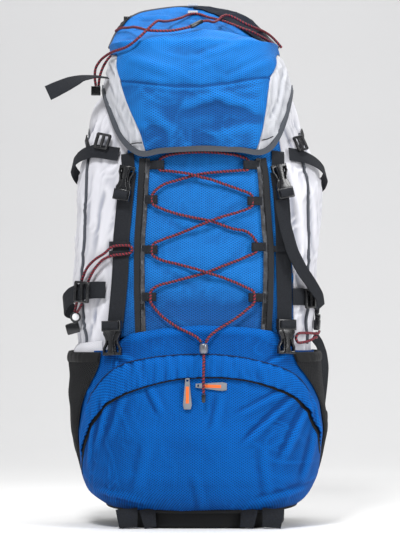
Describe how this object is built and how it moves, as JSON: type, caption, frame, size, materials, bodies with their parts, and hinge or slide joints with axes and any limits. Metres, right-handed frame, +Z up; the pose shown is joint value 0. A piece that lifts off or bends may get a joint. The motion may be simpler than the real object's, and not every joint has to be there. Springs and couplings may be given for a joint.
{
  "type": "hiking backpack",
  "caption": "Tall hiking rucksack standing on its base: hooded lid, laced front, zipped lower compartment, net side pockets, padded shoulder straps and hip belt.",
  "frame": {"origin": "middle of the flat floor of the base, on the surface that the pack stands on", "axes": "+Z up, -Y towards the laced front, +Y towards the harness and the wearer, +X to the right of a viewer in front"},
  "size_m": [0.4319, 0.3556, 0.7797],
  "materials": {
    "blue_cloth": "blue dobby-woven nylon, faint sheen",
    "white_cloth": "off-white coated nylon, matt",
    "black_cloth": "black coated nylon, matt",
    "binding": "dark grey woven binding tape",
    "netting": "black knitted net",
    "webbing": "black ribbed webbing",
    "moulding": "black moulded acetal, satin",
    "metal": "dark anodised, glossy",
    "pull": "grey moulded pull with an orange stripe",
    "cord": "black and red braided cord",
    "padding": "black padded cloth over foam"
  },
  "bodies": {
    "root": {"back_pad": "padding", "back_panel": "black_cloth", "base_boot": "black_cloth", "base_straps_left": "webbing", "base_straps_right": "webbing", "front_lace": "cord", "front_panel": "blue_cloth", "front_strap_left": "webbing", "front_strap_right": "webbing", "haul_loop": "webbing", "hip_belt": "padding", "lace_lock": "metal", "lace_tail": "cord", "lace_tip": "moulding", "lid_binding": "binding", "lid_cord": "cord", "lid_cord_lock": "moulding", "lid_cross_cord": "cord", "lid_hood": "blue_cloth", "lid_side_left": "white_cloth", "lid_side_right": "white_cloth", "lid_strap_left": "webbing", "lid_strap_right": "webbing", "lid_zip": "black_cloth", "loose_strap_left": "webbing", "loose_strap_right": "webbing", "lower_compartment": "blue_cloth", "lower_ladder_left": "moulding", "lower_ladder_right": "moulding", "lower_plug_left": "moulding", "lower_plug_right": "moulding", "lower_side_left": "black_cloth", "lower_side_right": "black_cloth", "lower_side_strap_left": "webbing", "lower_side_strap_right": "webbing", "mesh_pocket_left": "netting", "mesh_pocket_right": "netting", "shoulder_strap_left": "padding", "shoulder_strap_right": "padding", "side_cord_left": "cord", "side_cord_right": "cord", "side_lock_left": "moulding", "side_lock_right": "moulding", "side_panel_left": "white_cloth", "side_panel_right": "white_cloth", "side_piping_left": "binding", "side_piping_right": "binding", "upper_ladder_left": "moulding", "upper_ladder_right": "moulding", "upper_plug_left": "moulding", "upper_plug_right": "moulding", "upper_side_strap_left": "webbing", "upper_side_strap_right": "webbing", "upper_socket_left": "moulding", "upper_socket_right": "moulding", "zip_flap": "blue_cloth", "zip_pull_left": "pull", "zip_pull_right": "pull", "zip_strip_left": "black_cloth", "zip_strip_right": "black_cloth"}
  },
  "joints": []
}
